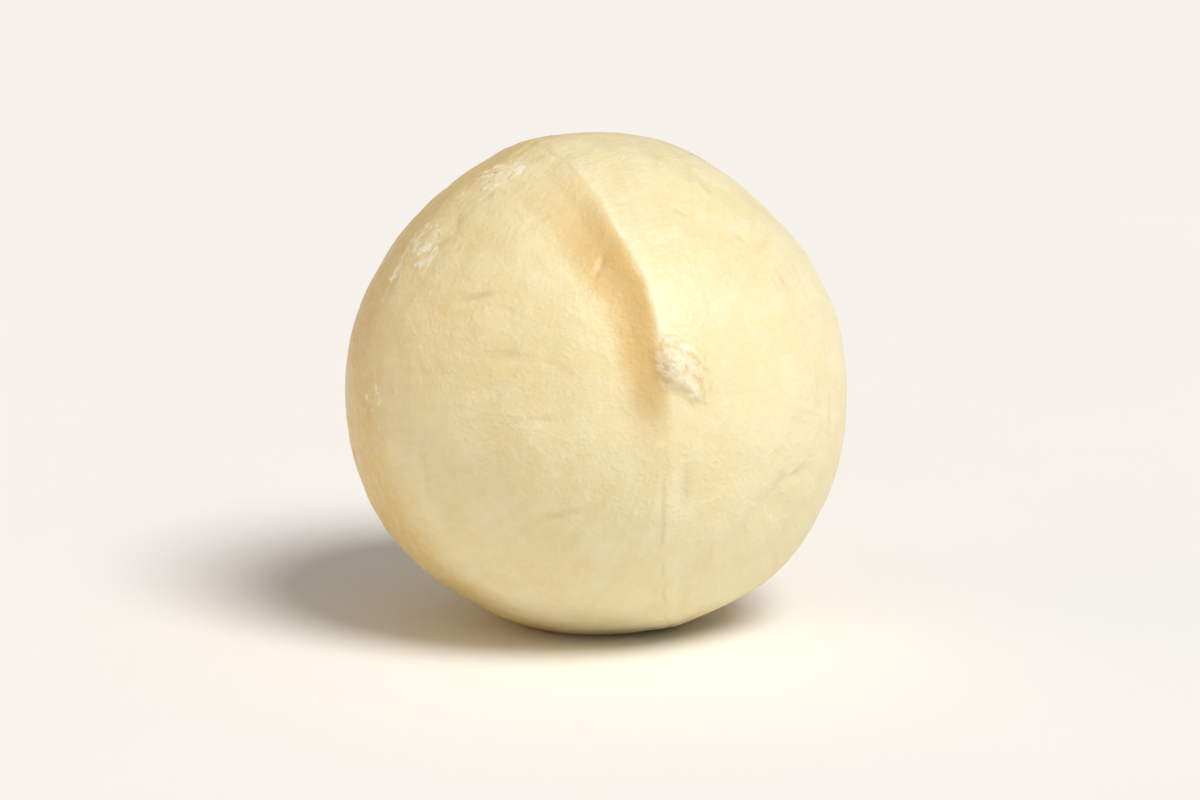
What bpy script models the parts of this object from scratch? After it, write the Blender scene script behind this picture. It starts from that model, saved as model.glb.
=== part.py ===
"""A shelled macadamia kernel lying on the small flat spot under it.

Metres, +Z up. The two seed halves lie towards -X and +X and meet at a seam that runs right round
the kernel. The small radicle tip is at the front (-Y) and the hilum, the scar where the seed was
attached, is at the back (+Y). The origin is on the resting surface, under the middle of the kernel.
"""

import math

import bmesh
import bpy
from mathutils import Matrix, Vector

# Driving dimensions of the body
KERNEL_WIDTH = 0.0190  # across the two seed halves
KERNEL_LENGTH = 0.0197  # from the radicle tip to the hilum, without the tip itself
KERNEL_HEIGHT = 0.0190  # before the resting spot takes its slice
TIP_RISE = math.radians(11.5)  # the tip points this far above level when the kernel rests
REST_SPOT_RADIUS = 0.0024

# The seam between the seed halves. Its sideways drift is a share of the kernel's half width.
SEAM_LEAN = 0.26
SEAM_SAG = 0.20
SEAM_SAG_PLACE = math.radians(-42)
SEAM_SAG_SPREAD = math.radians(68)

# Above the tip the right half stands proud: a rounded wall drops from it into a shallow valley.
VALLEY_PLACE = math.radians(22)
VALLEY_SPREAD = math.radians(52)
WALL_WIDTH = 0.0010
WALL_OVERHANG = 0.12  # how far the wall reaches past the seam, as a share of its width
VALLEY_WIDTH = 0.0026
VALLEY_DEPTH = 0.00020
STEP_HEIGHT = 0.00015
STEP_SHARE_ELSEWHERE = 0.4
STEP_FADE = 0.0030

# Elsewhere the halves meet in a low ridge.
RIDGE_HEIGHT = 0.00010
RIDGE_ROUNDING = 0.00020
RIDGE_FADE = 0.0016

# The two poles. The tip is a low ridge that slants down to the right.
TIP_MIDDLE = (0.0, 0.00035)
TIP_SLANT = math.radians(-54)
TIP_HALF_LENGTH = 0.0018
TIP_HALF_WIDTH = 0.0012
TIP_HEIGHT = 0.00035
HILUM_RADIUS = 0.0031
HILUM_FLATTENING = 0.00020

# Soft flats and swellings, each as direction (right, back, up), height in metres and spread.
SOFT_FORMS = (
    ((0.72, -0.26, 0.65), -0.00042, 0.48),  # flat on the upper right shoulder
    ((-0.60, 0.10, 0.79), -0.00034, 0.48),  # flat on the upper left shoulder
    ((0.68, -0.21, -0.70), 0.00030, 0.45),  # fuller low on the right
    ((-0.77, 0.27, -0.58), 0.00020, 0.45),  # fuller low on the left
    ((-0.72, -0.60, 0.30), -0.00012, 0.40),  # slightly flattened left cheek
    ((0.00, -1.00, 0.00), 0.00022, 0.45),  # drawn out a little towards the tip
    ((0.50, 0.80, 0.30), 0.00020, 0.45),  # swelling behind on the right
    ((-0.60, 0.75, 0.10), -0.00024, 0.38),  # flat behind on the left
)

# Mesh fineness: columns run from side to side, rings lie parallel to the seam
COLUMNS = 56
RINGS = 40
RING_SPACING_AT_SEAM = 0.45  # as a share of even spacing, so that the rings crowd at the seam
CUTTER_SIZE = 0.03

KERNEL_COLOUR = (0.82, 0.71, 0.42, 1.0)


def clear_scene():
    for old in list(bpy.data.objects):
        bpy.data.objects.remove(old, do_unlink=True)


def new_collection(name):
    collection = bpy.data.collections.new(name)
    bpy.context.scene.collection.children.link(collection)
    return collection


def kernel_material():
    material = bpy.data.materials.new("waxy_cream_kernel")
    material.use_nodes = True
    shader = material.node_tree.nodes["Principled BSDF"]
    shader.inputs["Base Color"].default_value = KERNEL_COLOUR
    shader.inputs["Roughness"].default_value = 0.45
    shader.inputs["Metallic"].default_value = 0.0
    return material


def hump(distance, reach):
    """A smooth rise that is 1 at distance 0 and 0 from the given reach on."""
    if abs(distance) >= reach:
        return 0.0
    return 0.5 + 0.5 * math.cos(math.pi * distance / reach)


def soft_step(value, start, end):
    """A smooth climb from 0 at the start to 1 at the end."""
    share = max(0.0, min(1.0, (value - start) / (end - start)))
    return share * share * (3.0 - 2.0 * share)


def blend(low, high, share):
    return low + (high - low) * share


def angle_between(a, b):
    """The shortest way round from one angle to another."""
    return math.remainder(a - b, math.tau)


def seam_drift(turn):
    """How far the seam lies to the right, as a share of the half width.

    The turn is the angle round the side-to-side axis, from the tip (0) up over the top.
    """
    sag = SEAM_SAG * hump(angle_between(turn, SEAM_SAG_PLACE), SEAM_SAG_SPREAD)
    return -SEAM_LEAN * math.sin(turn) - sag


def seam_relief(side, turn):
    """Height of the surface beside the seam, where side is the distance to the right of it."""
    upper_front = hump(angle_between(turn, VALLEY_PLACE), VALLEY_SPREAD)
    wall = soft_step(side, -WALL_WIDTH, WALL_OVERHANG * WALL_WIDTH)
    valley = hump(min(side + WALL_WIDTH, 0.0), VALLEY_WIDTH) * (1 - wall)
    proud = wall * math.exp(-max(side, 0.0) / STEP_FADE)
    ridge = math.exp(-math.hypot(side, RIDGE_ROUNDING) / RIDGE_FADE)
    step = STEP_HEIGHT * blend(STEP_SHARE_ELSEWHERE, 1.0, upper_front)
    return step * proud - VALLEY_DEPTH * upper_front * valley + RIDGE_HEIGHT * (1 - upper_front) * ridge


def tip_relief(point):
    right, up = point.x - TIP_MIDDLE[0], point.z - TIP_MIDDLE[1]
    along = (right * math.cos(TIP_SLANT) + up * math.sin(TIP_SLANT)) / TIP_HALF_LENGTH
    across = (up * math.cos(TIP_SLANT) - right * math.sin(TIP_SLANT)) / TIP_HALF_WIDTH
    return TIP_HEIGHT * hump(math.hypot(along, across), 1.0)


def soft_form(direction):
    """The slow ups and downs that keep the kernel from being a perfect ball."""
    return sum(
        height * math.exp(-((direction - Vector(centre).normalized()).length / spread) ** 2)
        for centre, height, spread in SOFT_FORMS
    )


def surface_point(across, turn):
    """A point of the kernel, with its tip still level.

    Across runs from -1 (the far left) over 0 (the seam) to 1 (the far right).
    """
    drift = seam_drift(turn)
    seam_latitude = math.asin(drift)
    crowded = RING_SPACING_AT_SEAM * across + (1 - RING_SPACING_AT_SEAM) * across**3
    room = math.pi / 2 - math.copysign(1.0, across) * seam_latitude
    latitude = seam_latitude + room * crowded
    direction = Vector(
        (
            math.sin(latitude),
            -math.cos(latitude) * math.cos(turn),
            math.cos(latitude) * math.sin(turn),
        )
    )
    point = Vector(
        (
            direction.x * KERNEL_WIDTH / 2,
            direction.y * KERNEL_LENGTH / 2,
            direction.z * KERNEL_HEIGHT / 2,
        )
    )
    side = (direction.x - drift) * KERNEL_WIDTH / 2
    relief = soft_form(direction) + seam_relief(side, turn) * math.cos(latitude)
    if direction.y < 0:
        relief += tip_relief(point)
    else:
        relief -= HILUM_FLATTENING * hump(math.hypot(point.x, point.z), HILUM_RADIUS)
    return point + direction * relief


def kernel_mesh():
    """A sphere whose rings lie parallel to the seam, with each point moved onto the kernel."""
    mesh = bpy.data.meshes.new("macadamia_kernel")
    sphere = bmesh.new()
    bmesh.ops.create_uvsphere(sphere, u_segments=COLUMNS, v_segments=RINGS, radius=1.0)
    for vertex in sphere.verts:
        across = math.asin(max(-1.0, min(1.0, vertex.co.z))) / (math.pi / 2)
        turn = -math.atan2(vertex.co.y, vertex.co.x)
        vertex.co = surface_point(across, turn)
    sphere.to_mesh(mesh)
    sphere.free()
    return mesh


def rest_on_the_ground(mesh):
    """Tilts the tip up and lowers the kernel until the ground plane cuts the resting spot."""
    mesh.transform(Matrix.Rotation(-TIP_RISE, 4, "X"))
    corners = [vertex.co for vertex in mesh.vertices]
    low = Vector([min(corner[axis] for corner in corners) for axis in range(3)])
    high = Vector([max(corner[axis] for corner in corners) for axis in range(3)])
    radius = KERNEL_HEIGHT / 2
    slice_depth = radius - math.sqrt(radius**2 - REST_SPOT_RADIUS**2)
    middle = (low + high) / 2
    mesh.transform(Matrix.Translation((-middle.x, -middle.y, -low.z - slice_depth)))


def ground_cutter(collection):
    """A block whose top face is the ground, which takes the resting spot's slice off."""
    mesh = bpy.data.meshes.new("ground_cutter")
    block = bmesh.new()
    bmesh.ops.create_cube(block, size=CUTTER_SIZE)
    block.to_mesh(mesh)
    block.free()
    mesh.transform(Matrix.Translation((0.0, 0.0, -CUTTER_SIZE / 2)))
    cutter = bpy.data.objects.new("ground_cutter", mesh)
    cutter.hide_render = True
    cutter.display_type = "WIRE"
    collection.objects.link(cutter)
    return cutter


def kernel(collection, cutter):
    mesh = kernel_mesh()
    rest_on_the_ground(mesh)
    mesh.shade_smooth()
    mesh.materials.append(kernel_material())
    body = bpy.data.objects.new("macadamia_kernel", mesh)
    collection.objects.link(body)
    slice_off = body.modifiers.new("resting_spot", "BOOLEAN")
    slice_off.operation = "DIFFERENCE"
    slice_off.solver = "EXACT"
    slice_off.object = cutter
    return body


clear_scene()
kernel(new_collection("macadamia_nut"), ground_cutter(new_collection("cutters")))
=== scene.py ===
import math

import bpy
import numpy as np
from mathutils import Matrix, Vector, noise


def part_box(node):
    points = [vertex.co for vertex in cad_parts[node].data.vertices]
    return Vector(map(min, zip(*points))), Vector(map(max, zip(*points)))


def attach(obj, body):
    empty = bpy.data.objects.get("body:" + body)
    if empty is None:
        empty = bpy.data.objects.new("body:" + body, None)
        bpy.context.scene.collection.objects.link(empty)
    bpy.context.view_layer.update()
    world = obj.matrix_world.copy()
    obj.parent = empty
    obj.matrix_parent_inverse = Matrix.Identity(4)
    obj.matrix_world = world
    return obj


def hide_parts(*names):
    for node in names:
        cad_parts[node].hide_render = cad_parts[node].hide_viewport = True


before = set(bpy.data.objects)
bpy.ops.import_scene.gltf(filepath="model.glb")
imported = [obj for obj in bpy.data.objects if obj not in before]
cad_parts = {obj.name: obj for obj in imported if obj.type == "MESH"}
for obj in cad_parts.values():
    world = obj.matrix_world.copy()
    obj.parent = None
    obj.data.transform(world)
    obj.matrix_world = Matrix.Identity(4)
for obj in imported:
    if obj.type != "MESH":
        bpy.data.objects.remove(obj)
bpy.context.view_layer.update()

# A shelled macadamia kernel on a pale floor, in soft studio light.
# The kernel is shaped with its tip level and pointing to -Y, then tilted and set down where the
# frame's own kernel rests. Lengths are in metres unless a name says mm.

MM = 0.001
KERNEL_NODE = "macadamia_kernel"

# ---------------------------------------------------------------- sizes

# The body before it is fitted to the frame's box
KERNEL_WIDTH = 19.0 * MM
KERNEL_LENGTH = 19.7 * MM
KERNEL_HEIGHT = 19.0 * MM
HALF_WIDTH = KERNEL_WIDTH / 2
TIP_RISE = math.radians(11.5)
SPOT_ROUNDING = 0.05 * MM  # softens the edge of the flat spot it rests on

# Soft flats and swellings, each as direction (right, back, up), height and spread
SOFT_FORMS = (
    ((0.72, -0.26, 0.65), -0.42 * MM, 0.48),  # flat on the upper right shoulder
    ((-0.60, 0.10, 0.79), -0.34 * MM, 0.48),  # flat on the upper left shoulder
    ((0.68, -0.21, -0.70), 0.30 * MM, 0.45),  # fuller low on the right
    ((-0.77, 0.27, -0.58), 0.20 * MM, 0.45),  # fuller low on the left
    ((-0.72, -0.60, 0.30), -0.12 * MM, 0.40),  # slightly flattened left cheek
    ((0.00, -1.00, 0.00), 0.22 * MM, 0.45),  # drawn out a little towards the tip
    ((0.50, 0.80, 0.30), 0.20 * MM, 0.45),  # swelling behind on the right
    ((-0.60, 0.75, 0.10), -0.24 * MM, 0.38),  # flat behind on the left
)

# Shallow dents from the shell and from knocks: direction, depth and spread
DENTS = (
    ((-0.45, -0.80, 0.42), 0.05 * MM, 0.20),
    ((-0.70, -0.55, -0.40), 0.07 * MM, 0.20),
    ((0.62, -0.72, 0.28), 0.07 * MM, 0.19),
    ((0.40, -0.75, -0.50), 0.06 * MM, 0.17),
    ((-0.30, -0.45, 0.84), 0.07 * MM, 0.18),
    ((0.45, -0.20, 0.87), 0.08 * MM, 0.20),
    ((0.90, 0.20, -0.30), 0.08 * MM, 0.18),
    ((-0.80, 0.45, 0.35), 0.09 * MM, 0.19),
    ((0.30, 0.70, -0.60), 0.08 * MM, 0.20),
    ((0.20, 0.60, 0.75), 0.07 * MM, 0.17),
)

# Slow unevenness of a thing that grew: height, size of the lumps and seed
UNEVENNESS = (
    (0.130 * MM, 5.5 * MM, 3),
    (0.060 * MM, 2.4 * MM, 4),
    (0.030 * MM, 1.1 * MM, 5),
    (0.013 * MM, 0.5 * MM, 15),
)

# The seam between the seed halves, whose drift to the right is a share of the half width
SEAM_LEAN = 0.26
SEAM_SAG = 0.20
SEAM_SAG_PLACE = math.radians(-42)
SEAM_SAG_SPREAD = math.radians(68)
SEAM_WANDER = ((0.140 * MM, 2.0 * MM, 1), (0.056 * MM, 0.6 * MM, 2))  # reach, size and seed
SEAM_LINE_WIDTH = 0.16 * MM
SEAM_LINE_DEPTH = 0.035 * MM
SEAM_LINE_LIMITS = (-0.5, 0.3)  # of the slow noise that breaks the line up

# Above the tip the right half stands proud: a rounded wall drops from it into a shallow valley
VALLEY_PLACE = math.radians(22)
VALLEY_SPREAD = math.radians(52)
WALL_WIDTH = 1.0 * MM
WALL_OVERHANG = 0.12  # how far the wall reaches past the seam, as a share of its width
VALLEY_WIDTH = 2.6 * MM
VALLEY_DEPTH = 0.20 * MM
STEP_HEIGHT = 0.15 * MM
STEP_SHARE_ELSEWHERE = 0.4
STEP_FADE = 3.0 * MM

# Elsewhere the halves meet in a low ridge
RIDGE_HEIGHT = 0.10 * MM
RIDGE_ROUNDING = 0.20 * MM
RIDGE_FADE = 1.6 * MM

# The tan staining in the valley, partly painted shade beside the wall, from just under the tip to high
# on the front
STAIN_AND_SHADE_WIDTH = 2.5 * MM
STAIN_AND_SHADE_WIDTH_AT_BOTTOM = 1.5 * MM
STAIN_AND_SHADE_EDGE_SHARE = 0.45  # from here on towards the seam it is full, as a share of its width
STAIN_AND_SHADE_RAGGEDNESS = 0.35 * MM
STAIN_AND_SHADE_END_AT_WALL = (-0.18 * MM, 0.10 * MM)
STAIN_AND_SHADE_BOTTOM = math.radians(-8)
STAIN_AND_SHADE_TOP = math.radians(60)
STAIN_AND_SHADE_WIDENING = 0.50  # how far above its bottom it is at its full width, in radians
STAIN_AND_SHADE_BOTTOM_FADE = (-0.14, 0.26)  # in radians from its bottom
STAIN_AND_SHADE_TOP_FADE = (-0.60, 0.10)  # in radians from its top

# The pale lip along the top of the wall, where the skin is rubbed, and a painted highlight where the
# key light catches it
LIP_PLACE = 0.35 * MM
LIP_REACH = 0.45 * MM
LIP_STRENGTH = 0.75
LIP_PATCHINESS = 0.5

# The radicle tip, a low ridge at the front pole that slants down to the right
TIP_MIDDLE = (0.0, 0.35 * MM)
TIP_SLANT = math.radians(-54)
TIP_HALF_LENGTH = 1.40 * MM
TIP_HALF_WIDTH = 0.85 * MM
TIP_HEIGHT = 0.30 * MM
TIP_RAGGEDNESS = 0.45
TIP_FADE = (0.1, 1.2)  # as shares of the way from its middle to its edge
CROWN_RAGGEDNESS = 0.3
CROWN_FADE = (0.4, 1.1)
CROWN_CRUMBS_HEIGHT = 0.05 * MM

# The flakes of broken skin that lie over each other on the tip
FLAKES = 22
FLAKE_SEED = 8
FLAKE_SPREAD = 0.85  # how far out their middles lie, as a share of the tip's half length and width
FLAKE_LENGTHS = (0.16 * MM, 0.46 * MM)
FLAKE_WIDTH_SHARE = 0.45
FLAKE_HEIGHT = 0.12 * MM
FLAKE_MIDDLE_SHARE = 0.55  # how much of the height a flake has at its middle
FLAKE_TILTS = (0.2, 0.7)
FLAKE_RAGGEDNESS = 0.7
FLAKE_FADE = (0.5, 1.4)
FLAKES_FULL_FROM = 0.4  # how strong the crown is where the flakes on it stop fading

# The tan patch low on the left of the tip, painted shade on the side of the tip away from the key light
TIP_PATCH_MIDDLE = (-1.05 * MM, -0.55 * MM)
TIP_PATCH_REACH = 1.5 * MM
TIP_PATCH_SQUASH = 0.8  # below 1 it is taller than it is wide

# The hilum at the back pole, with its faint raised rim, fine wrinkles and small dark pore
HILUM_RADIUS = 3.1 * MM
HILUM_FLATTENING = 0.20 * MM
HILUM_OUTLINE = ((0.15, 0.35, 8), (0.05, 0.12, 9))  # unroundness: share of the radius, size, seed
HILUM_DISC_SHARE = 0.75  # from here out the disc fades, as a share of its radius
HILUM_RIM_WIDTH = 0.55 * MM
HILUM_RIM_HEIGHT = 0.035 * MM
HILUM_RIM_STRENGTH = 0.55  # below 1 the rim is broken in places
HILUM_WRINKLES = 29
HILUM_WRINKLES_WAVER = 2.5
HILUM_WRINKLE_HEIGHT = 0.010 * MM
HILUM_WRINKLES_START = (0.4 * MM, 1.2 * MM)
PORE_MIDDLE = (0.40 * MM, -0.25 * MM)
PORE_RADIUS = 0.34 * MM
PORE_DEPTH = 0.11 * MM

# Crusty scuffs where the skin is rubbed off: direction, reach and strength
SCUFFS = (
    ((-0.80, -0.19, 0.57), 0.32, 1.3),
    ((-0.50, -0.26, 0.83), 0.26, 1.2),
    ((0.80, -0.40, 0.45), 0.22, 0.8),
    ((0.75, -0.60, -0.15), 0.20, 0.5),
    ((-0.97, -0.20, 0.05), 0.24, 0.7),
    ((0.85, 0.45, 0.35), 0.30, 0.9),
    ((-0.45, 0.75, 0.50), 0.28, 0.8),
    ((0.10, 0.80, -0.55), 0.30, 0.7),
    ((0.35, -0.10, 0.93), 0.22, 0.7),
)
SCUFF_RAGGEDNESS = 1.1
SCUFF_FADE = (0.35, 1.25)
SCUFF_STEEPNESS_AT_REACH = 3  # how sharply a scuff ends at its reach
SCUFF_GRIT_HEIGHT = 0.03 * MM
SCUFF_GRIT_LEVEL = 0.3

# Nicks from cracking the shell and from tumbling
NICKS = 90
NICK_SEED = 11
NICK_LENGTHS = (0.20 * MM, 0.90 * MM)
NICK_WIDTHS = (0.12 * MM, 0.25 * MM)
NICK_DEPTHS = (0.035 * MM, 0.110 * MM)

# Where the pale front gives way to the smooth golden back, as shares of the half length
GOLDEN_FROM = -0.32
GOLDEN_FULL = -0.04
GOLDEN_BORDER = ((0.10, 0.55, 13), (0.04, 0.16, 14))  # raggedness: reach, size and seed
GOLDEN_THICKNESS = 0.02 * MM

# The grain runs from tip to hilum, and its streaks fade out towards both
STREAKS_FADE = (0.25, 0.75)
SMALLEST_OFF_AXIS = 1e-4  # so that nothing is divided by 0 at the poles

CUBE_SPLITS = 7  # each cube face becomes 128 x 128 small faces, about 0.12 mm apart
MAP_COLUMNS = 3
MAP_ROWS = 2
MAP_GAP = 0.004  # left bare round each cube face on the map, as a share of its width


# ---------------------------------------------------------------- shape


def hump(distance, reach):
    """A smooth rise that is 1 at distance 0 and 0 from the given reach on."""
    near = np.clip(np.abs(distance) / reach, 0.0, 1.0)
    return 0.5 + 0.5 * np.cos(np.pi * near)


def soft_step(value, start, end):
    """A smooth climb from 0 at the start to 1 at the end."""
    share = np.clip((value - start) / (end - start), 0.0, 1.0)
    return share * share * (3.0 - 2.0 * share)


def blend(low, high, share):
    return low + (high - low) * share


def angle_between(a, b):
    """The shortest way round from one angle to another."""
    return (a - b + np.pi) % (2 * np.pi) - np.pi


def distance_to(direction, centre):
    """How far each direction is from the centre's, measured on a ball of radius 1."""
    return np.linalg.norm(direction - np.array(Vector(centre).normalized()), axis=1)


def ripple(points, size, seed, octaves=1):
    """Smooth noise from about -1 to 1 whose lumps are about the given size across.

    Each seed takes it from another place, and each further octave is half as large and as high.
    """
    shift = Vector((seed * 17.3, seed * -9.1, seed * 5.7))
    places = (Vector(point) / size + shift for point in points)
    if octaves == 1:
        return np.array([noise.noise(place) for place in places])
    return np.array([noise.fractal(place, 1.0, 2.0, octaves) for place in places])


def ripples(points, waves):
    """Ripples of several sizes added up, each given as height, size and seed."""
    return sum(height * ripple(points, size, seed) for height, size, seed in waves)


def cube_faces():
    """A cube split into small squares, with its six faces laid out three by two on the map."""
    bpy.ops.mesh.primitive_cube_add(size=2.0)
    cube = bpy.context.object
    layer = cube.data.uv_layers.active
    layer.name = "OFBake"
    corners = ((0, 0), (1, 0), (1, 1), (0, 1))
    filled = 1 - 2 * MAP_GAP
    for face in cube.data.polygons:
        row, column = divmod(face.index, MAP_COLUMNS)
        for loop, (right, up) in zip(face.loop_indices, corners):
            layer.data[loop].uv = (
                (column + MAP_GAP + right * filled) / MAP_COLUMNS,
                (row + MAP_GAP + up * filled) / MAP_ROWS,
            )
    split = cube.modifiers.new("split", "SUBSURF")
    split.subdivision_type = "SIMPLE"
    split.uv_smooth = "NONE"
    split.levels = split.render_levels = CUBE_SPLITS
    bpy.ops.object.modifier_apply(modifier=split.name)
    return cube


def body_relief(direction, point):
    """Flats and swellings, dents, and the slow unevenness."""
    relief = ripples(point, UNEVENNESS)
    for centre, height, spread in SOFT_FORMS:
        relief += height * np.exp(-((distance_to(direction, centre) / spread) ** 2))
    for centre, depth, spread in DENTS:
        relief -= depth * hump(distance_to(direction, centre), spread)
    return relief, {}


def seam_drift(turn):
    """How far the seam lies to the right, as a share of the half width.

    The turn is the angle round the side-to-side axis, from the tip (0) up over the top.
    """
    sag = SEAM_SAG * hump(angle_between(turn, SEAM_SAG_PLACE), SEAM_SAG_SPREAD)
    return -SEAM_LEAN * np.sin(turn) - sag


def seam_relief(direction, point):
    """The proud right half, the wall and valley left of it, the low ridge and the fine line."""
    turn = np.arctan2(direction[:, 2], -direction[:, 1])
    side = (direction[:, 0] - seam_drift(turn)) * HALF_WIDTH + ripples(point, SEAM_WANDER)
    upper_front = hump(angle_between(turn, VALLEY_PLACE), VALLEY_SPREAD)

    wall = soft_step(side, -WALL_WIDTH, WALL_OVERHANG * WALL_WIDTH)
    valley = hump(np.minimum(side + WALL_WIDTH, 0.0), VALLEY_WIDTH) * (1 - wall)
    proud = wall * np.exp(-np.maximum(side, 0.0) / STEP_FADE)
    ridge = np.exp(-np.sqrt(side**2 + RIDGE_ROUNDING**2) / RIDGE_FADE)
    unbroken = soft_step(ripple(point, 1.4 * MM, seed=20), *SEAM_LINE_LIMITS)
    relief = STEP_HEIGHT * blend(STEP_SHARE_ELSEWHERE, 1.0, upper_front) * proud
    relief -= VALLEY_DEPTH * upper_front * valley
    relief += RIDGE_HEIGHT * (1 - upper_front) * ridge
    relief -= SEAM_LINE_DEPTH * unbroken * np.exp(-((side / SEAM_LINE_WIDTH) ** 2))
    to_sides = np.sqrt(np.clip(1 - direction[:, 0] ** 2, 0, 1))

    # the lip is rubbed pale in patches, and the pale also stands for a painted highlight on the lit top
    # of the wall
    rubbed = LIP_STRENGTH + LIP_PATCHINESS * ripple(point, 0.9 * MM, seed=17)
    lip = np.clip(hump(side - LIP_PLACE, LIP_REACH) * rubbed, 0, 1) * upper_front
    marks = {"side_mm": side / MM, "stain": valley_stain_and_shade(turn, side, point), "lip": lip}
    return relief * to_sides, marks


def valley_stain_and_shade(turn, side, point):
    """How strong the tan valley mark is, part staining and part painted shade beside the wall: narrow
    and soft at its bottom, and ended by the wall.
    """
    above_bottom = turn - STAIN_AND_SHADE_BOTTOM
    width = blend(STAIN_AND_SHADE_WIDTH_AT_BOTTOM, STAIN_AND_SHADE_WIDTH, soft_step(above_bottom, 0.0, STAIN_AND_SHADE_WIDENING))
    ragged = STAIN_AND_SHADE_RAGGEDNESS * ripple(point, 1.3 * MM, seed=16)
    stain = soft_step(side + ragged, -width, -STAIN_AND_SHADE_EDGE_SHARE * width)
    stain *= 1 - soft_step(side, *STAIN_AND_SHADE_END_AT_WALL)
    stain *= soft_step(above_bottom, *STAIN_AND_SHADE_BOTTOM_FADE)
    return stain * (1 - soft_step(turn - STAIN_AND_SHADE_TOP, *STAIN_AND_SHADE_TOP_FADE))


def tip_relief(direction, point):
    """The radicle tip: a low ridge under flakes of broken skin, and a tan patch of painted shade beside
    it.
    """
    front = direction[:, 1] < 0
    right = point[:, 0] - TIP_MIDDLE[0]
    up = point[:, 2] - TIP_MIDDLE[1]
    along = (right * math.cos(TIP_SLANT) + up * math.sin(TIP_SLANT)) / TIP_HALF_LENGTH
    across = (up * math.cos(TIP_SLANT) - right * math.sin(TIP_SLANT)) / TIP_HALF_WIDTH
    off_tip = np.hypot(along, across) + TIP_RAGGEDNESS * ripple(point, 0.9 * MM, seed=18, octaves=2)
    nub = np.where(front, 1 - soft_step(off_tip, *TIP_FADE), 0.0)

    broken = ripple(point, 0.70 * MM, seed=7, octaves=3)
    crown = np.where(front, 1 - soft_step(off_tip + CROWN_RAGGEDNESS * broken, *CROWN_FADE), 0.0)
    flake, lift = flaked(along * TIP_HALF_LENGTH, across * TIP_HALF_WIDTH, point)
    flake = np.where(front, flake * soft_step(crown, 0.0, FLAKES_FULL_FROM), 0.0)
    relief = TIP_HEIGHT * nub + CROWN_CRUMBS_HEIGHT * crown * broken + flake * lift

    off_patch = np.hypot(
        point[:, 0] - TIP_PATCH_MIDDLE[0],
        TIP_PATCH_SQUASH * (point[:, 2] - TIP_PATCH_MIDDLE[1]),
    )
    patch = np.where(front, hump(off_patch, TIP_PATCH_REACH), 0.0)
    return relief, {"crown": crown, "flake": flake, "tip_patch": patch}


def flaked(along, across, point):
    """Thin tilted flakes that lie over each other: where they are, and how high each one stands."""
    chance = np.random.default_rng(FLAKE_SEED)
    ragged = FLAKE_RAGGEDNESS * ripple(point, 0.30 * MM, seed=21, octaves=2)
    flake = np.zeros(len(point))
    lift = np.zeros(len(point))
    for _ in range(FLAKES):
        middle = chance.uniform(-FLAKE_SPREAD, FLAKE_SPREAD, size=2) * (TIP_HALF_LENGTH, TIP_HALF_WIDTH)
        slant = chance.uniform(0.0, math.pi)
        length = chance.uniform(*FLAKE_LENGTHS)
        tilt = chance.uniform(*FLAKE_TILTS)
        ahead = along - middle[0]
        beside = across - middle[1]
        lengthways = (ahead * math.cos(slant) + beside * math.sin(slant)) / length
        sideways = (beside * math.cos(slant) - ahead * math.sin(slant)) / (FLAKE_WIDTH_SHARE * length)
        here = 1 - soft_step(lengthways**2 + sideways**2 + ragged, *FLAKE_FADE)
        height = FLAKE_HEIGHT * (FLAKE_MIDDLE_SHARE + tilt * np.clip(lengthways, -1, 1))
        higher = here * height > flake * lift
        flake = np.where(higher, here, flake)
        lift = np.where(higher, height, lift)
    return flake, lift


def hilum_relief(direction, point):
    """The hilum: a flattened disc with a faint raised edge, fine wrinkles and one small dark pore."""
    back = direction[:, 1] > 0
    off_axis = np.hypot(point[:, 0], point[:, 2])
    edge = HILUM_RADIUS * (1 + ripples(direction, HILUM_OUTLINE))
    disc = np.where(back, 1 - soft_step(off_axis, HILUM_DISC_SHARE * edge, edge), 0.0)
    unbroken = np.clip(HILUM_RIM_STRENGTH + ripple(point, 1.3 * MM, seed=19), 0, 1)
    rim = np.where(back, hump(off_axis - edge, HILUM_RIM_WIDTH), 0.0) * unbroken

    around = np.arctan2(point[:, 2], point[:, 0])
    wavering = HILUM_WRINKLES_WAVER * ripple(point, 1.5 * MM, seed=10)
    wrinkles = np.sin(HILUM_WRINKLES * around + wavering) * soft_step(off_axis, *HILUM_WRINKLES_START)
    off_pore = np.hypot(point[:, 0] - PORE_MIDDLE[0], point[:, 2] - PORE_MIDDLE[1])
    pore = np.where(back, hump(off_pore, PORE_RADIUS), 0.0)

    relief = -HILUM_FLATTENING * np.where(back, hump(off_axis, HILUM_RADIUS), 0.0)
    relief += HILUM_RIM_HEIGHT * rim + HILUM_WRINKLE_HEIGHT * wrinkles * disc - PORE_DEPTH * pore
    return relief, {"hilum": disc, "hilum_rim": rim, "pore": pore}


def scuff_relief(direction, point):
    """Crusty patches with ragged edges, thin where they fade."""
    ragged = SCUFF_RAGGEDNESS * ripple(point, 1.5 * MM, seed=11, octaves=4)
    scuff = np.zeros(len(point))
    for centre, reach, strength in SCUFFS:
        near = strength * hump(distance_to(direction, centre), reach)
        inside = np.minimum(1, SCUFF_STEEPNESS_AT_REACH * near)
        scuff = np.maximum(scuff, soft_step(near + ragged, *SCUFF_FADE) * inside)
    grit = SCUFF_GRIT_LEVEL + ripple(point, 0.35 * MM, seed=12)
    return SCUFF_GRIT_HEIGHT * scuff * grit, {"scuff": scuff}


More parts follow.
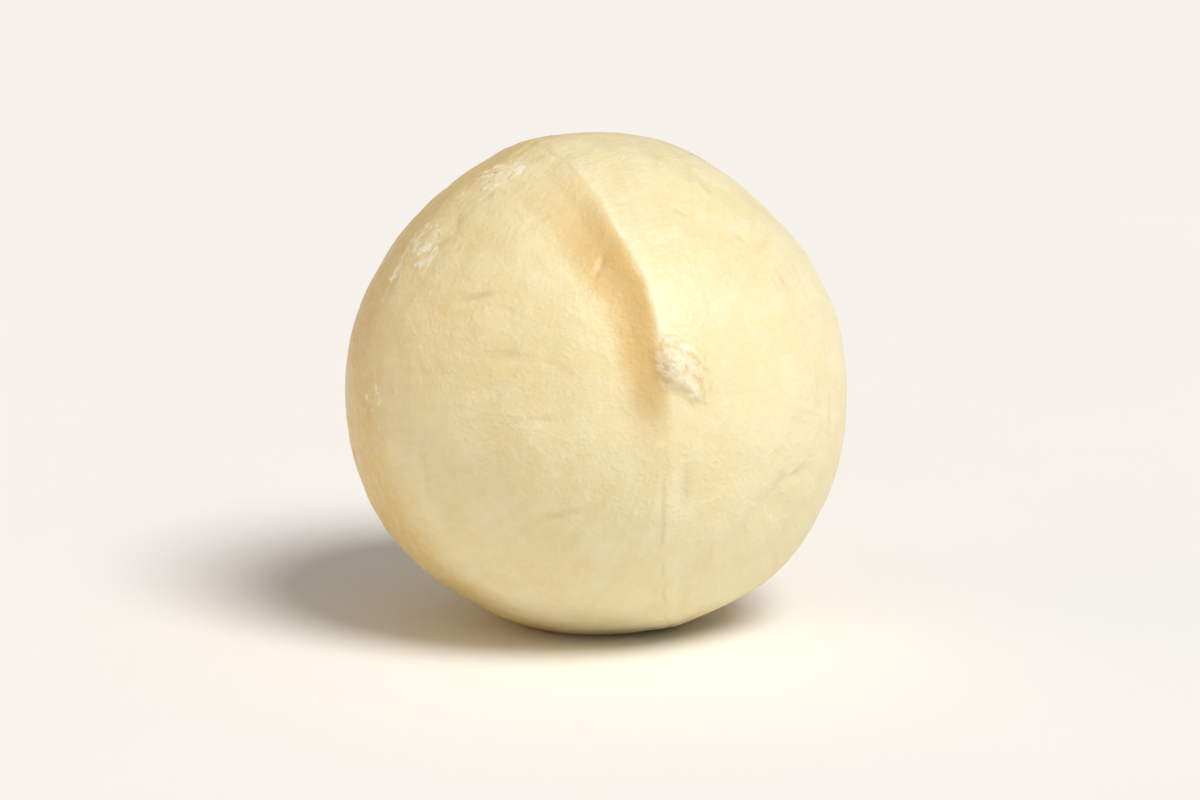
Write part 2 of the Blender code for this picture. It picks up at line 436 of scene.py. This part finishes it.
def nick_relief(direction, point):
    """Small nicks: short shallow dents that lie at any angle."""
    chance = np.random.default_rng(NICK_SEED)
    relief = np.zeros(len(point))
    deepest = np.zeros(len(point))
    for _ in range(NICKS):
        centre, any_way = (Vector(chance.normal(size=3)).normalized() for _ in range(2))
        along = centre.cross(any_way).normalized()
        across = centre.cross(along)
        length = chance.uniform(*NICK_LENGTHS)
        width = chance.uniform(*NICK_WIDTHS)
        depth = chance.uniform(*NICK_DEPTHS)
        offset = (direction - np.array(centre)) * HALF_WIDTH
        lengthways = offset @ np.array(along) / length
        sideways = offset @ np.array(across) / width
        inside = np.exp(-(lengthways**2) - sideways**2) * (direction @ np.array(centre) > 0)
        relief -= depth * inside
        deepest = np.maximum(deepest, inside * depth / NICK_DEPTHS[1])
    return relief, {"nick": deepest}


def skin_relief(direction, point):
    """The back is smooth and golden, the front pale. They meet at a ragged ring."""
    golden = soft_step(direction[:, 1] + ripples(direction, GOLDEN_BORDER), GOLDEN_FROM, GOLDEN_FULL)
    return GOLDEN_THICKNESS * golden, {"golden": golden}


def grain_places(direction):
    """Where each point lies in the grain, and how strong the streaks are there.

    The place changes fast round the pole axis and slowly along it.
    """
    off_axis = np.maximum(np.hypot(direction[:, 0], direction[:, 2]), SMALLEST_OFF_AXIS)
    places = np.stack(
        (direction[:, 0] / off_axis, direction[:, 2] / off_axis, direction[:, 1]), axis=1
    )
    return places, soft_step(off_axis, *STREAKS_FADE)


def set_down(points):
    """Tilts the tip up, then fits the kernel to the frame's box with a soft flat where it rests."""
    low, high = (np.array(corner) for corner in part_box(KERNEL_NODE))
    tilt = np.array(Matrix.Rotation(-TIP_RISE, 3, "X"))
    points = points @ tilt.T
    own_low, own_high = points.min(axis=0), points.max(axis=0)
    for axis in (0, 1):
        stretch = (high[axis] - low[axis]) / (own_high[axis] - own_low[axis])
        points[:, axis] = low[axis] + (points[:, axis] - own_low[axis]) * stretch
    points[:, 2] += high[2] - own_high[2]
    above = points[:, 2] - low[2]
    points[:, 2] = low[2] + 0.5 * (above + np.sqrt(above**2 + SPOT_ROUNDING**2))
    return points


def make_kernel():
    """The cube blown up to a ball, with each point moved onto the kernel and given its marks."""
    kernel = cube_faces()
    kernel.name = kernel.data.name = "waxy_kernel"
    mesh = kernel.data
    corners = np.empty(3 * len(mesh.vertices))
    mesh.vertices.foreach_get("co", corners)
    direction = np.tan(corners.reshape(-1, 3) * math.pi / 4)
    direction /= np.linalg.norm(direction, axis=1)[:, None]
    point = direction * np.array([KERNEL_WIDTH, KERNEL_LENGTH, KERNEL_HEIGHT]) / 2

    forms = (body_relief, seam_relief, tip_relief, hilum_relief, scuff_relief, nick_relief, skin_relief)
    relief = np.zeros(len(point))
    marks = {}
    for form in forms:
        its_relief, its_marks = form(direction, point)
        relief += its_relief
        marks.update(its_marks)
    grain, marks["streaked"] = grain_places(direction)

    mesh.vertices.foreach_set("co", set_down(point + direction * relief[:, None]).ravel())
    for name, values in marks.items():
        mesh.attributes.new(name, "FLOAT", "POINT").data.foreach_set("value", values)
    mesh.attributes.new("grain", "FLOAT_VECTOR", "POINT").data.foreach_set("vector", grain.ravel())
    mesh.shade_smooth()
    mesh.update()
    return kernel


# ---------------------------------------------------------------- materials

# The marks that the mesh carries
MESH_MARKS = "side_mm stain lip crown flake tip_patch hilum hilum_rim pore scuff nick golden streaked"

# How closely the grain's streaks lie: the first two count round the pole axis, the third along it
GRAIN_CLOSENESS = (16.0, 16.0, 2.5)

# Noise: what it follows, the size of its lumps, its detail, and the limits spread out to 0 and 1
SKIN_NOISE = {
    "clouds": ("place", 5.0 * MM, 2.0, 0.35, 0.70),
    "mottle": ("place", 1.4 * MM, 3.0, 0.38, 0.66),
    "speckle": ("place", 0.36 * MM, 2.0, 0.42, 0.68),
    "crumbs": ("place", 0.34 * MM, 5.0, 0.40, 0.60),
    "fine": ("place", 0.18 * MM, 3.0, 0.30, 0.70),  # skin grain, drawn coarser than it is
    "streaks": ("grain", 1.0, 3.0, 0.40, 0.72),
}

# Marks made crisper or finer than the mesh can hold them: where each comes from, and its limits
DOT_SPACING = 0.60 * MM
CRISP_MARKS = {
    "crust": ("gritty_scuff", 0.55, 1.35),
    "seam_line": ("seam_distance", 0.12, 0.02),
    # the lip's crumbling edge, which also carries a painted highlight
    "lip_edge": ("seam_distance", 0.45, 0.10),
    # painted light: the right half, which the key light falls on, is made paler
    "lit_right_half": ("side_mm", -0.15, 0.30),
    "specks": ("dots", 0.18, 0.10),
}

# Layers of colour, from the lowest up: the marks that limit each, how well it covers, its colour
FLESH_COLOUR = "EBDEB2"
FLESH_LAYERS = (
    ("clouds", 0.45, "E5D29A"),
    ("mottle", 0.30, "F2E9CA"),
    ("lit_right_half", 0.12, "F8F0D0"),  # painted light: a little paler right of the seam, on the side the key light falls on
    ("golden", 0.72, "D8B86C"),  # smooth skin of the back
    ("speckle", 0.20, "F3ECD0"),
    ("streaks streaked", 0.14, "D8BC80"),
    # tan staining in the valley, partly painted shade where the wall keeps the key light off
    ("stain", 0.68, "D7B064"),
    # painted shade low on the left of the tip, away from the key light
    ("tip_patch", 0.42, "CDA767"),
    ("hilum", 0.35, "D8BC80"),
    ("hilum_rim", 0.50, "C7A164"),
    ("pore", 0.90, "6E4A24"),
    ("nick", 0.30, "C9A76E"),
    ("nick mottle", 0.40, "F6EFD9"),  # pale dry flesh inside some of the nicks
    # pale rubbed lip, partly a painted highlight on the lit top of the wall
    ("lip", 0.45, "F5EBCA"),
    ("lip_edge lip crumbs", 0.80, "FBF7E9"),  # crumbling edge at the top of the wall, with a painted highlight along it
    ("crust crumbs", 0.75, "F8F2E0"),
    ("specks scuff", 0.45, "A08C6A"),  # bits of the shell's brown lining
    ("crown", 0.50, "DDC183"),
    ("crown crumbs", 0.60, "F6EBCB"),
    ("flake", 0.60, "FAF3DF"),
    ("seam_line mottle", 0.13, "A98450"),
)

# Waxy where the skin is whole, duller where it is broken or dry
ROUGHNESS = 0.34
ROUGHER = (("crust", 0.22), ("flake", 0.20), ("clouds", 0.10), ("mottle", 0.10), ("fine", 0.08))

# How far each mark stands out, as a share of the bump height
BUMP_HEIGHT = 0.055 * MM
BUMPS = (
    ("crown crumbs", 0.75),
    ("crust crumbs", 0.38),
    ("mottle", 0.40),
    ("speckle", 0.22),
    ("fine", 0.16),
    ("streaks", 0.08),
)

# The sockets of a node that mixes two colours
MIX_SHARE = 0
MIX_UNDER = 6
MIX_OVER = 7
MIX_RESULT = 2


def linear(hex_colour):
    """An sRGB hex colour as linear red, green, blue and alpha."""
    parts = [int(hex_colour[i : i + 2], 16) / 255 for i in (0, 2, 4)]
    return [p / 12.92 if p <= 0.04045 else ((p + 0.055) / 1.055) ** 2.4 for p in parts] + [1.0]


def add(tree, kind, inputs=None, stops=None, **settings):
    """Adds a node with its settings, its ramp stops and its input values or links."""
    made = tree.nodes.new(kind)
    for name, value in settings.items():
        setattr(made, name, value)
    for place, (position, colour) in enumerate(stops or ()):
        elements = made.color_ramp.elements
        element = elements[place] if place < len(elements) else elements.new(position)
        element.position = position
        element.color = colour
    for name, value in (inputs or {}).items():
        if isinstance(value, bpy.types.NodeSocket):
            tree.links.new(value, made.inputs[name])
        else:
            made.inputs[name].default_value = value
    return made


def skin_marks(tree):
    """Every mark and noise that colours and roughens the flesh, as sockets by name."""
    marks = {
        name: add(tree, "ShaderNodeAttribute", attribute_name=name).outputs["Fac"]
        for name in MESH_MARKS.split()
    }
    marks["place"] = add(tree, "ShaderNodeTexCoord").outputs["Object"]
    grain = add(tree, "ShaderNodeAttribute", attribute_name="grain").outputs["Vector"]
    closer = add(tree, "ShaderNodeVectorMath", {0: grain, 1: GRAIN_CLOSENESS}, operation="MULTIPLY")
    marks["grain"] = closer.outputs["Vector"]
    for name, (followed, size, detail, low, high) in SKIN_NOISE.items():
        lumps = {"Vector": marks[followed], "Scale": 1 / size, "Detail": detail}
        raw = add(tree, "ShaderNodeTexNoise", lumps).outputs["Fac"]
        limits = {"Value": raw, "From Min": low, "From Max": high}
        spread_out = add(tree, "ShaderNodeMapRange", limits, interpolation_type="SMOOTHSTEP")
        marks[name] = spread_out.outputs["Result"]

    distance = add(tree, "ShaderNodeMath", {0: marks["side_mm"]}, operation="ABSOLUTE")
    marks["seam_distance"] = distance.outputs[0]
    dots = add(tree, "ShaderNodeTexVoronoi", {"Vector": marks["place"], "Scale": 1 / DOT_SPACING})
    marks["dots"] = dots.outputs["Distance"]
    gritty = {0: marks["speckle"], 1: marks["scuff"], 2: marks["scuff"]}
    marks["gritty_scuff"] = add(tree, "ShaderNodeMath", gritty, operation="MULTIPLY_ADD").outputs[0]
    for name, (source, low, high) in CRISP_MARKS.items():
        limits = {"Value": marks[source], "From Min": low, "From Max": high}
        spread_out = add(tree, "ShaderNodeMapRange", limits, interpolation_type="SMOOTHSTEP")
        marks[name] = spread_out.outputs["Result"]
    return marks


def limited(tree, marks, names, amount):
    """The amount, only where all the named marks are."""
    for name in names.split():
        inputs = {0: marks[name], 1: amount}
        amount = add(tree, "ShaderNodeMath", inputs, operation="MULTIPLY").outputs[0]
    return amount


def layered(tree, marks, colour, layers):
    """The colour with each layer painted over it in turn."""
    for names, cover, paint in layers:
        layer = {
            MIX_SHARE: limited(tree, marks, names, cover),
            MIX_UNDER: colour,
            MIX_OVER: linear(paint),
        }
        colour = add(tree, "ShaderNodeMix", layer, data_type="RGBA").outputs[MIX_RESULT]
    return colour


def added_up(tree, marks, total, parts):
    """The total with the amount of each part added where its marks are."""
    for names, amount in parts:
        inputs = {0: limited(tree, marks, names, amount), 1: total}
        total = add(tree, "ShaderNodeMath", inputs, operation="ADD").outputs[0]
    return total


def kernel_flesh():
    """Raw macadamia flesh, dried and cracked out of its shell.

    The oil in it gives a soft waxy glow. Where the skin is rubbed or broken it is dry and chalky.
    """
    material = bpy.data.materials.new("waxy_macadamia_flesh")
    material.use_nodes = True
    tree = material.node_tree
    shader = tree.nodes["Principled BSDF"]
    marks = skin_marks(tree)
    colour = layered(tree, marks, linear(FLESH_COLOUR), FLESH_LAYERS)
    tree.links.new(colour, shader.inputs["Base Color"])
    tree.links.new(added_up(tree, marks, ROUGHNESS, ROUGHER), shader.inputs["Roughness"])
    bumps = {"Height": added_up(tree, marks, 0.0, BUMPS), "Strength": 1.0, "Distance": BUMP_HEIGHT}
    tree.links.new(add(tree, "ShaderNodeBump", bumps).outputs["Normal"], shader.inputs["Normal"])

    shader.inputs["IOR"].default_value = 1.47  # of the oil
    shader.inputs["Specular IOR Level"].default_value = 0.31
    shader.inputs["Subsurface Weight"].default_value = 0.5
    shader.inputs["Subsurface Radius"].default_value = (1.0, 0.80, 0.50)
    shader.inputs["Subsurface Scale"].default_value = 0.8 * MM
    shader.inputs["Coat Weight"].default_value = 0.12
    shader.inputs["Coat Roughness"].default_value = 0.26
    return material


def matte_floor():
    """White-painted board, rolled on: flat and pale with hardly any sheen."""
    material = bpy.data.materials.new("white_painted_board")
    material.use_nodes = True
    tree = material.node_tree
    shader = tree.nodes["Principled BSDF"]
    place = add(tree, "ShaderNodeTexCoord").outputs["Object"]
    uneven = add(tree, "ShaderNodeTexNoise", {"Vector": place, "Scale": 1 / ROLLER_MARK_SIZE})
    coats = {MIX_SHARE: uneven.outputs["Fac"], MIX_UNDER: linear("F4F4F4"), MIX_OVER: linear("F7F7F7")}
    paint = add(tree, "ShaderNodeMix", coats, data_type="RGBA").outputs[MIX_RESULT]
    tree.links.new(paint, shader.inputs["Base Color"])
    shader.inputs["Roughness"].default_value = 0.75
    shader.inputs["Specular IOR Level"].default_value = 0.25
    return material


# ---------------------------------------------------------------- stage, light and camera

FLOOR_RADIUS = 1.2
FLOOR_CORNERS = 96
ROLLER_MARK_SIZE = 16.7 * MM

# Lights: degrees to the right of the camera, degrees up, degrees across, brightness and colour
LIGHTS = (
    ("key", 43, 52, 28, 0.87, "FFFCF5"),
    ("fill", -85, 12, 60, 0.21, "FFCF74"),
)

# The studio's glow: up to the first height it has the horizon's colour, from the second it is dim
HORIZON_COLOUR = "F0EDE7"
HORIZON_HEIGHT = 0.03
OVERHEAD_HEIGHT = 0.12
OVERHEAD_GLOW = (0.30, 0.30, 0.30, 1.0)

CAMERA_AZIMUTH = math.radians(-17.8)
CAMERA_ELEVATION = math.radians(11.7)
CAMERA_LENS_MM = 180.0
SENSOR_WIDTH_MM = 36.0
FRAME_RATIO = 1200 / 800
KERNEL_SHARE = 0.62  # how much of the view's height the kernel fills
AIM_BELOW_MIDDLE = 0.8 * MM  # leaves room for the floor in front


def direction_from(azimuth, elevation):
    """The way to a place round the object. Azimuth 0 is the front, and it grows to the right."""
    return Vector(
        (
            math.sin(azimuth) * math.cos(elevation),
            -math.cos(azimuth) * math.cos(elevation),
            math.sin(elevation),
        )
    )


def make_floor(floor_height):
    bpy.ops.mesh.primitive_circle_add(
        vertices=FLOOR_CORNERS,
        radius=FLOOR_RADIUS,
        fill_type="NGON",
        location=(0.0, 0.0, floor_height),
    )
    floor = bpy.context.object
    floor.name = "studio_floor"
    floor.data.materials.append(matte_floor())


def make_light(name, azimuth, elevation, softness, brightness, colour):
    """A wide, far lamp that looks softness degrees across. Brightness is what it adds to a white
    surface that faces it. Its azimuth is counted from the camera's, to the right."""
    light = bpy.data.lights.new(name, "SUN")
    light.angle = math.radians(softness)
    light.energy = brightness * math.pi
    light.color = linear(colour)[:3]
    lamp = bpy.data.objects.new(name, light)
    bpy.context.scene.collection.objects.link(lamp)
    way = direction_from(CAMERA_AZIMUTH + math.radians(azimuth), math.radians(elevation))
    lamp.rotation_euler = way.to_track_quat("Z", "Y").to_euler()


def make_world():
    """A pale studio: bright near the horizon, dimmer overhead."""
    world = bpy.data.worlds.new("studio")
    world.use_nodes = True
    bpy.context.scene.world = world
    tree = world.node_tree
    background = tree.nodes["Background"]
    place = add(tree, "ShaderNodeTexCoord").outputs["Generated"]
    height = add(tree, "ShaderNodeSeparateXYZ", {0: place}).outputs["Z"]
    glow = (
        (HORIZON_HEIGHT, linear(HORIZON_COLOUR)),
        (OVERHEAD_HEIGHT, OVERHEAD_GLOW),
        (1.0, OVERHEAD_GLOW),
    )
    sky = add(tree, "ShaderNodeValToRGB", {"Fac": height}, stops=glow).outputs["Color"]
    tree.links.new(sky, background.inputs["Color"])
    background.inputs["Strength"].default_value = 1.0


def make_camera(target, height):
    """A long lens that looks at the target and shows something of the given height."""
    camera = bpy.data.cameras.new("camera")
    camera.lens = CAMERA_LENS_MM
    camera.sensor_width = SENSOR_WIDTH_MM
    seen_height = height / KERNEL_SHARE
    distance = seen_height * CAMERA_LENS_MM / (SENSOR_WIDTH_MM / FRAME_RATIO)
    viewer = bpy.data.objects.new("camera", camera)
    bpy.context.scene.collection.objects.link(viewer)
    way = direction_from(CAMERA_AZIMUTH, CAMERA_ELEVATION)
    viewer.location = target + way * distance
    viewer.rotation_euler = way.to_track_quat("Z", "Y").to_euler()
    bpy.context.scene.camera = viewer


kernel = make_kernel()
kernel.data.materials.append(kernel_flesh())
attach(kernel, "root")
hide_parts(KERNEL_NODE)

box_low, box_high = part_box(KERNEL_NODE)
middle = (Vector(box_low) + Vector(box_high)) / 2
make_floor(box_low[2])
for light in LIGHTS:
    make_light(*light)
make_world()
make_camera(middle - Vector((0.0, 0.0, AIM_BELOW_MIDDLE)), box_high[2] - box_low[2])
bpy.context.scene.view_settings.view_transform = "Standard"
